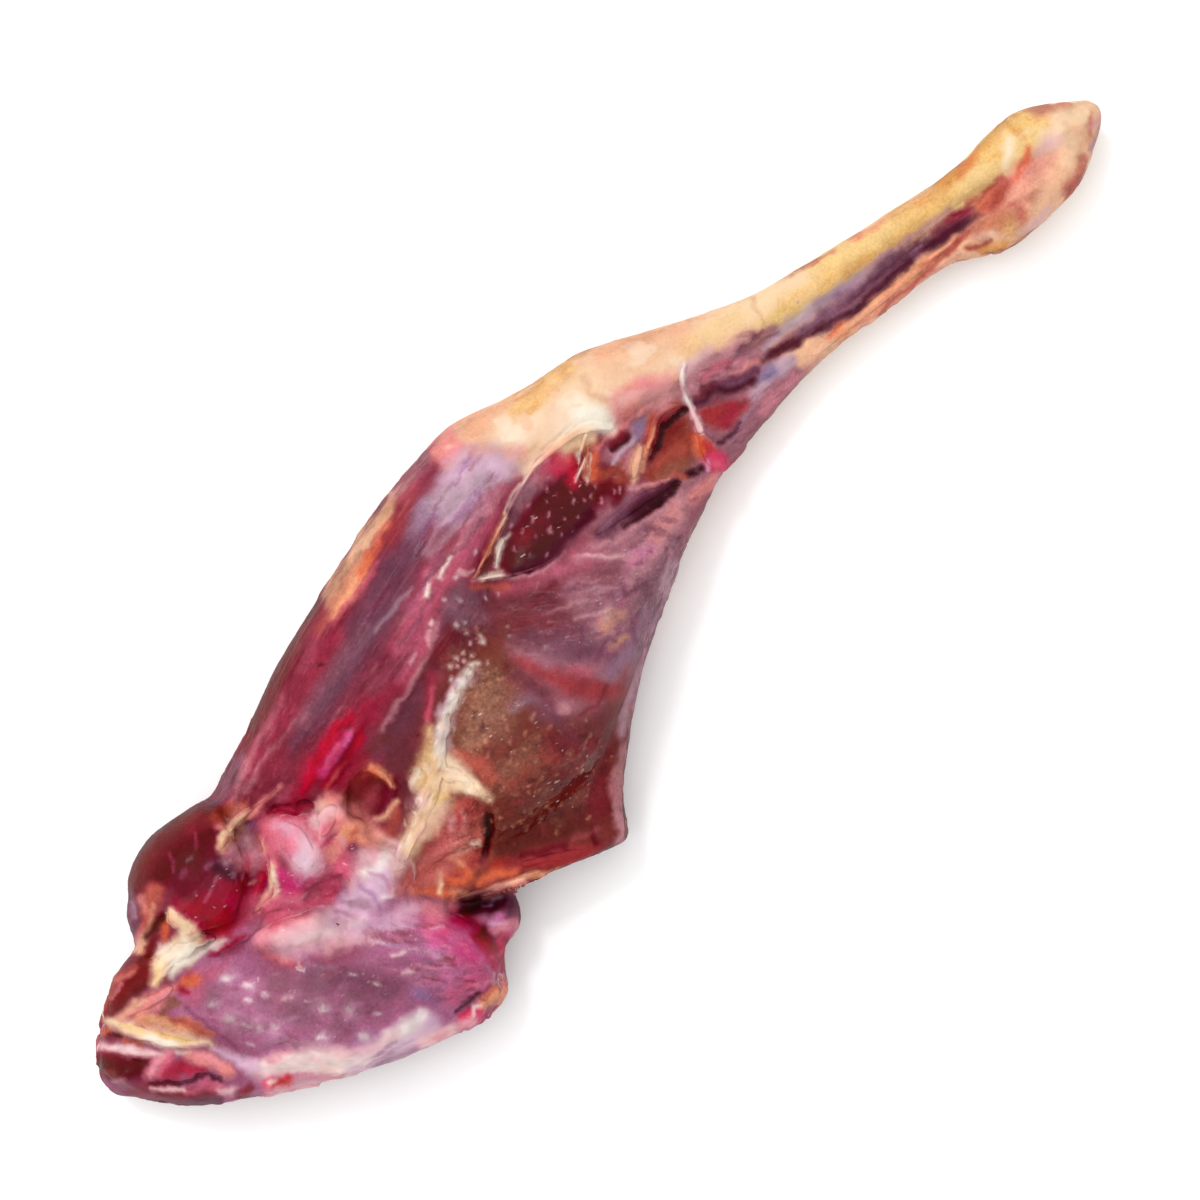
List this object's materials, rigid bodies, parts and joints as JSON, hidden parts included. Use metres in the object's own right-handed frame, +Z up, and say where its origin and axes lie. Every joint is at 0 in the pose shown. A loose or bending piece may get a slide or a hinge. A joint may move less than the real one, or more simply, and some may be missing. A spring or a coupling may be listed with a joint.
{
  "type": "raw leg of lamb",
  "caption": "Whole raw hind leg of lamb in one solid, lying on its outer side: rump end, thigh with its cut face, knee, long shank and hock",
  "frame": {"origin": "centre of the leg's plan box, on the surface it rests on", "axes": "+X runs along the leg from the rump to the hock, +Y points to the front edge of the thigh, +Z is up, through the shown inner side"},
  "size_m": [0.5201, 0.1655, 0.08],
  "materials": {
    "raw_meat": "moist raw meat with membrane, fat and bone ends"
  },
  "bodies": {
    "root": {"leg": "raw_meat"}
  },
  "joints": []
}
